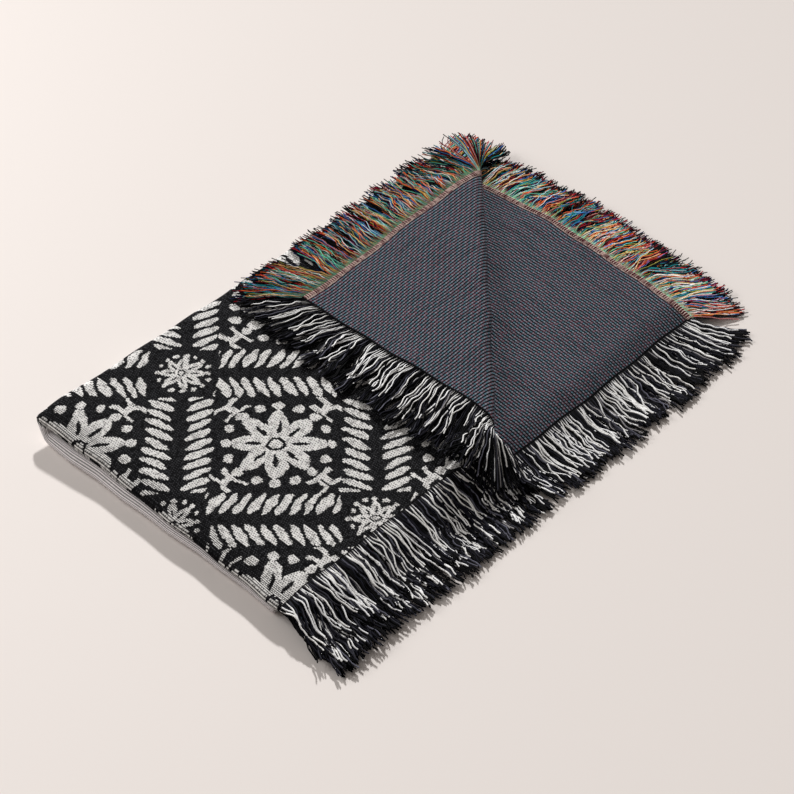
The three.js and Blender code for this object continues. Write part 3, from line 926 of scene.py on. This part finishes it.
def yarnTree():  # a tube along every strand, as thick as its taper says
    tree = bpy.data.node_groups.new("yarnTubes", "GeometryNodeTree")
    names = groupSockets(tree, [
        ("Geometry", "NodeSocketGeometry", None),
        ("Yarn radius", "NodeSocketFloat", 0.0008),
        ("Sides", "NodeSocketInt", 4),
        ("Finish", "NodeSocketMaterial", None),
    ])
    add = nodeAdder(tree)
    source = add("NodeGroupInput").outputs
    curves = add("GeometryNodeMeshToCurve", None, {0: source["Geometry"]})
    taper = add("GeometryNodeInputNamedAttribute", {"data_type": "FLOAT"}, {"Name": "taper"})
    tapered = add("GeometryNodeSetCurveRadius", None, {
        "Curve": curves.outputs[0], "Radius": taper.outputs[0],
    })
    ring = add("GeometryNodeCurvePrimitiveCircle", None, {
        "Resolution": source["Sides"], "Radius": source["Yarn radius"],
    })
    tube = add("GeometryNodeCurveToMesh", None, {
        "Curve": tapered.outputs[0], "Profile Curve": ring.outputs[0], "Fill Caps": True,
    })
    realize = add("GeometryNodeRealizeInstances", None, {0: tube.outputs[0]})
    finish = add("GeometryNodeSetMaterial", None, {
        "Geometry": realize.outputs[0], "Material": source["Finish"],
    })
    add("NodeGroupOutput", None, {0: finish.outputs[0]})
    return tree, names


def applyNodes(piece, tree, names, values):
    modifier = piece.modifiers.new("shape", "NODES")
    modifier.node_group = tree
    for name, value in values.items():
        modifier[names[name]] = value
    piece.update_tag()
    depsgraph = bpy.context.evaluated_depsgraph_get()
    made = piece.evaluated_get(depsgraph)
    mesh = bpy.data.meshes.new_from_object(made, preserve_all_data_layers=True, depsgraph=depsgraph)
    mesh.name = piece.name
    piece.modifiers.clear()
    piece.data = mesh
    return piece


def makeFringe(name, edge, at, runs, curl, kind, seed, tree, names):
    rng = np.random.default_rng(seed)
    laid = [layStrands(edge, at, run, curl, kind, rng) for run in runs]
    places, thickness, tints = (np.concatenate(parts) for parts in zip(*laid))
    strands, steps = thickness.shape
    first = (np.arange(strands)[:, None] * steps + np.arange(steps - 1)[None, :]).ravel()
    mesh = bpy.data.meshes.new(name)
    mesh.from_pydata(places.reshape(-1, 3).tolist(), np.stack([first, first + 1], axis=1).tolist(), [])
    mesh.attributes.new("taper", "FLOAT", "POINT").data.foreach_set("value", thickness.ravel())
    mesh.attributes.new("tint", "FLOAT_COLOR", "POINT").data.foreach_set("color", tints.ravel())
    piece = bpy.data.objects.new(name, mesh)
    bpy.context.collection.objects.link(piece)
    values = {"Yarn radius": kind["radius"], "Sides": fringe["sides"], "Finish": kind["finish"]}
    applyNodes(piece, tree, names, values)
    piece.data.shade_smooth()
    print(name, strands, "strands", len(piece.data.polygons), "faces")
    return piece


stitching = {
    "pitch": 0.00155,
    "inset": 0.0030,
    "proud": 0.0006,
    "slant": 0.0012,
    "radius": 0.00046,
    "turns": 0.61,
    "steps": 12,
    "sides": 3,
    "points": 1540,
    "wear": 0.8,
    "seed": 5,
    "dark": colour(96, 20, 38),
    "pale": colour(250, 222, 212),
}


def stitchTree():  # one thread loop round the edge, again and again along it
    s = stitching
    tree = bpy.data.node_groups.new("edgeStitches", "GeometryNodeTree")
    names = groupSockets(tree, [
        ("Geometry", "NodeSocketGeometry", None),
        ("Pitch", "NodeSocketFloat", 0.0024),
        ("Slant", "NodeSocketFloat", 0.001),
        ("Thread radius", "NodeSocketFloat", 0.0004),
        ("Dark", "NodeSocketColor", None),
        ("Pale", "NodeSocketColor", None),
        ("Seed", "NodeSocketInt", 1),
        ("Finish", "NodeSocketMaterial", None),
    ])

    add = nodeAdder(tree)
    source = add("NodeGroupInput").outputs
    arc = add("GeometryNodeCurveSpiral", None, {
        "Resolution": s["steps"],
        "Rotations": s["turns"],
        "Start Radius": 1.0,
        "End Radius": 1.0,
        "Height": source["Slant"],
    })
    aimed = add("GeometryNodeTransform", None, {
        "Geometry": arc.outputs[0], "Rotation": (0, 0, -math.pi * s["turns"]),
    })
    loop = add("GeometryNodeTransform", None, {
        "Geometry": aimed.outputs[0],
        "Translation": (-s["inset"], -halfThick, 0),
        "Scale": (s["inset"] + s["proud"], halfThick + s["proud"], 1),
    })
    ring = add("GeometryNodeCurvePrimitiveCircle", None, {
        "Resolution": s["sides"], "Radius": source["Thread radius"],
    })
    thread = add("GeometryNodeCurveToMesh", None, {
        "Curve": loop.outputs[0], "Profile Curve": ring.outputs[0], "Fill Caps": True,
    })
    curves = add("GeometryNodeMeshToCurve", None, {0: source["Geometry"]})
    even = add("GeometryNodeResampleCurve", {"mode": "LENGTH"}, {
        "Curve": curves.outputs[0], "Length": source["Pitch"],
    })
    outward = add("GeometryNodeInputNamedAttribute", {"data_type": "FLOAT_VECTOR"}, {"Name": "outward"})
    upward = add("GeometryNodeInputNamedAttribute", {"data_type": "FLOAT_VECTOR"}, {"Name": "upward"})
    axes = add("FunctionNodeAxesToRotation", {"primary_axis": "X", "secondary_axis": "Y"}, {
        0: outward.outputs[0], 1: upward.outputs[0],
    })
    placed = add("GeometryNodeInstanceOnPoints", None, {
        "Points": even.outputs[0], "Instance": thread.outputs[0], "Rotation": axes.outputs[0],
    })
    number = add("GeometryNodeInputIndex")
    turn = add("ShaderNodeMath", {"operation": "PINGPONG"}, {0: number.outputs[0], 1: 1.0})
    worn = add("FunctionNodeRandomValue", {"data_type": "FLOAT"}, {
        2: -s["wear"], 3: s["wear"], "Seed": source["Seed"],
    })
    paleness = add("ShaderNodeMath", {"operation": "ADD", "use_clamp": True}, {
        0: turn.outputs[0], 1: worn.outputs[1],
    })
    tint = add("ShaderNodeMix", {"data_type": "RGBA"}, {
        0: paleness.outputs[0], 6: source["Dark"], 7: source["Pale"],
    })
    stored = add("GeometryNodeStoreNamedAttribute", {"data_type": "FLOAT_COLOR", "domain": "INSTANCE"}, {
        "Geometry": placed.outputs[0], "Name": "tint", "Value": tint.outputs[2],
    })
    realize = add("GeometryNodeRealizeInstances", None, {0: stored.outputs[0]})
    finish = add("GeometryNodeSetMaterial", None, {
        "Geometry": realize.outputs[0], "Material": source["Finish"],
    })
    add("NodeGroupOutput", None, {0: finish.outputs[0]})
    return tree, names


def makeStitches(name):  # thread over both selvedges, along the fringe's roots
    s = stitching
    v = np.linspace(-halfLength, halfLength, s["points"] + 2)[1:-1]
    points, outward, upward, edges = [], [], [], []
    for at in (-1, 1):
        edge = np.full_like(v, at * halfWidth)
        rim = placeSheet(edge, v, -halfThick)
        inner = placeSheet(np.full_like(v, at * (halfWidth - s["inset"])), v, -halfThick)
        under = placeSheet(edge, v, halfThick)
        first = len(points) * s["points"]
        edges += [(first + i, first + i + 1) for i in range(s["points"] - 1)]
        points.append(rim)
        outward.append(unit(rim - inner))
        upward.append(unit(rim - under))
    mesh = bpy.data.meshes.new(name)
    mesh.from_pydata(np.concatenate(points).tolist(), edges, [])
    for key, values in (("outward", outward), ("upward", upward)):
        vectors = mesh.attributes.new(key, "FLOAT_VECTOR", "POINT")
        vectors.data.foreach_set("vector", np.concatenate(values).ravel())
    piece = bpy.data.objects.new(name, mesh)
    bpy.context.collection.objects.link(piece)
    tree, names = stitchTree()
    applyNodes(piece, tree, names, {
        "Pitch": s["pitch"],
        "Slant": s["slant"],
        "Thread radius": s["radius"],
        "Dark": s["dark"],
        "Pale": s["pale"],
        "Seed": s["seed"],
        "Finish": makeYarnMaterial("edgeThread"),
    })
    for vertex in piece.data.vertices:
        vertex.co.z = max(vertex.co.z, 0)
    piece.data.shade_smooth()
    print(name, len(piece.data.polygons), "faces")
    return piece


def direction(azimuth, elevation):  # in degrees, from the front and up from the floor
    turn, rise = math.radians(azimuth), math.radians(elevation)
    return Vector((math.sin(turn) * math.cos(rise), -math.cos(turn) * math.cos(rise), math.sin(rise)))


camera = {
    "target": (-0.009, -0.0558, 0.0),
    "azimuth": -46.42,
    "elevation": 44.75,
    "roll": 0.56,
    "distance": 2.637,
    "focalPixels": 2373,
    "imagePixels": 794,
    "sensor": 36.0,
    "farthest": 50,
}


def makeCamera():
    back = direction(camera["azimuth"], camera["elevation"])
    roll = math.radians(camera["roll"])
    right = (-back).cross(Vector((0, 0, 1))).normalized()
    up = right.cross(-back)
    rolledRight = right * math.cos(roll) + up * math.sin(roll)
    rolledUp = up * math.cos(roll) - right * math.sin(roll)
    data = bpy.data.cameras.new("view")
    data.sensor_width = camera["sensor"]
    data.lens = camera["focalPixels"] / camera["imagePixels"] * data.sensor_width
    data.clip_end = camera["farthest"]
    item = bpy.data.objects.new("view", data)
    place = Vector(camera["target"]) + back * camera["distance"]
    item.matrix_world = Matrix((
        (rolledRight.x, rolledUp.x, back.x, place.x),
        (rolledRight.y, rolledUp.y, back.y, place.y),
        (rolledRight.z, rolledUp.z, back.z, place.z),
        (0, 0, 0, 1),
    ))
    bpy.context.collection.objects.link(item)
    bpy.context.scene.camera = item


lights = {
    "sun": {"azimuth": 132, "elevation": 27, "strength": 3.71, "angle": 3, "colour": (0.985, 0.985, 0.985)},
    "fill": {"place": (-1.0, 2.0, 1.5), "size": 1.4, "power": 34.5, "colour": (1.0, 0.995, 0.99)},
    "world": {"colour": (1.0, 0.93, 0.88), "strength": 0.215},
}


def addLight(name, kind, strength, tint, towards):  # it shines from that way to the middle
    data = bpy.data.lights.new(name, kind)
    data.energy = strength
    data.color = tint
    item = bpy.data.objects.new(name, data)
    item.rotation_euler = towards.to_track_quat("Z", "Y").to_euler()
    bpy.context.collection.objects.link(item)
    return item


def makeLights():
    sun, fill, world = lights["sun"], lights["fill"], lights["world"]
    towards = direction(sun["azimuth"], sun["elevation"])
    item = addLight("sun", "SUN", sun["strength"], sun["colour"], towards)
    item.data.angle = math.radians(sun["angle"])
    item = addLight("fill", "AREA", fill["power"], fill["colour"], Vector(fill["place"]))
    item.data.size = fill["size"]
    item.location = fill["place"]
    studio = bpy.data.worlds.new("studio")
    studio.use_nodes = True
    background = studio.node_tree.nodes["Background"]
    background.inputs[0].default_value = (*world["colour"], 1.0)
    background.inputs[1].default_value = world["strength"]
    bpy.context.scene.world = studio
    bpy.context.scene.view_settings.view_transform = "Standard"


ground = {"size": 12.0, "below": 0.0003, "roughness": 0.9, "colour": (0.835, 0.778, 0.742, 1.0)}


def makeFloor():
    mesh = bpy.data.meshes.new("floor")
    size = ground["size"]
    corners = [(x * size, y * size, -ground["below"]) for x, y in ((-1, -1), (1, -1), (1, 1), (-1, 1))]
    mesh.from_pydata(corners, [], [(0, 1, 2, 3)])
    material, _, shader = startMaterial("floor", ground["roughness"])
    shader.inputs["Base Color"].default_value = ground["colour"]
    mesh.materials.append(material)
    item = bpy.data.objects.new("floor", mesh)
    bpy.context.collection.objects.link(item)


makeCamera()
makeLights()
makeFloor()
print("camera, lights and floor")

sheet = makeCloth()
tree, names = yarnTree()
bright["finish"] = makeYarnMaterial("yarnBright")
mono["finish"] = makeYarnMaterial("yarnMono")
fringes = [
    ("fringe_side_outer", "side", -1, sideOuterRuns, sideCurl, bright, 11, "fringe_coloured"),
    ("fringe_side_inner", "side", 1, sideInnerRuns, None, bright, 12, "fringe_coloured"),
    ("fringe_front_outer", "front", -1, frontOuterRuns, frontCurl, mono, 13, "fringe_black_white"),
    ("fringe_front_inner", "front", 1, frontInnerRuns, None, mono, 14, "fringe_black_white"),
]
for name, edge, at, runs, curl, kind, seed, slot in fringes:
    piece = makeFringe(name + "_yarns", edge, at, runs, curl, kind, seed, tree, names)
    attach(piece, "root")
    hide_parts(name)

stitches = makeStitches("selvedge_stitches")
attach(stitches, "root")

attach(sheet, "root")
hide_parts("cloth")
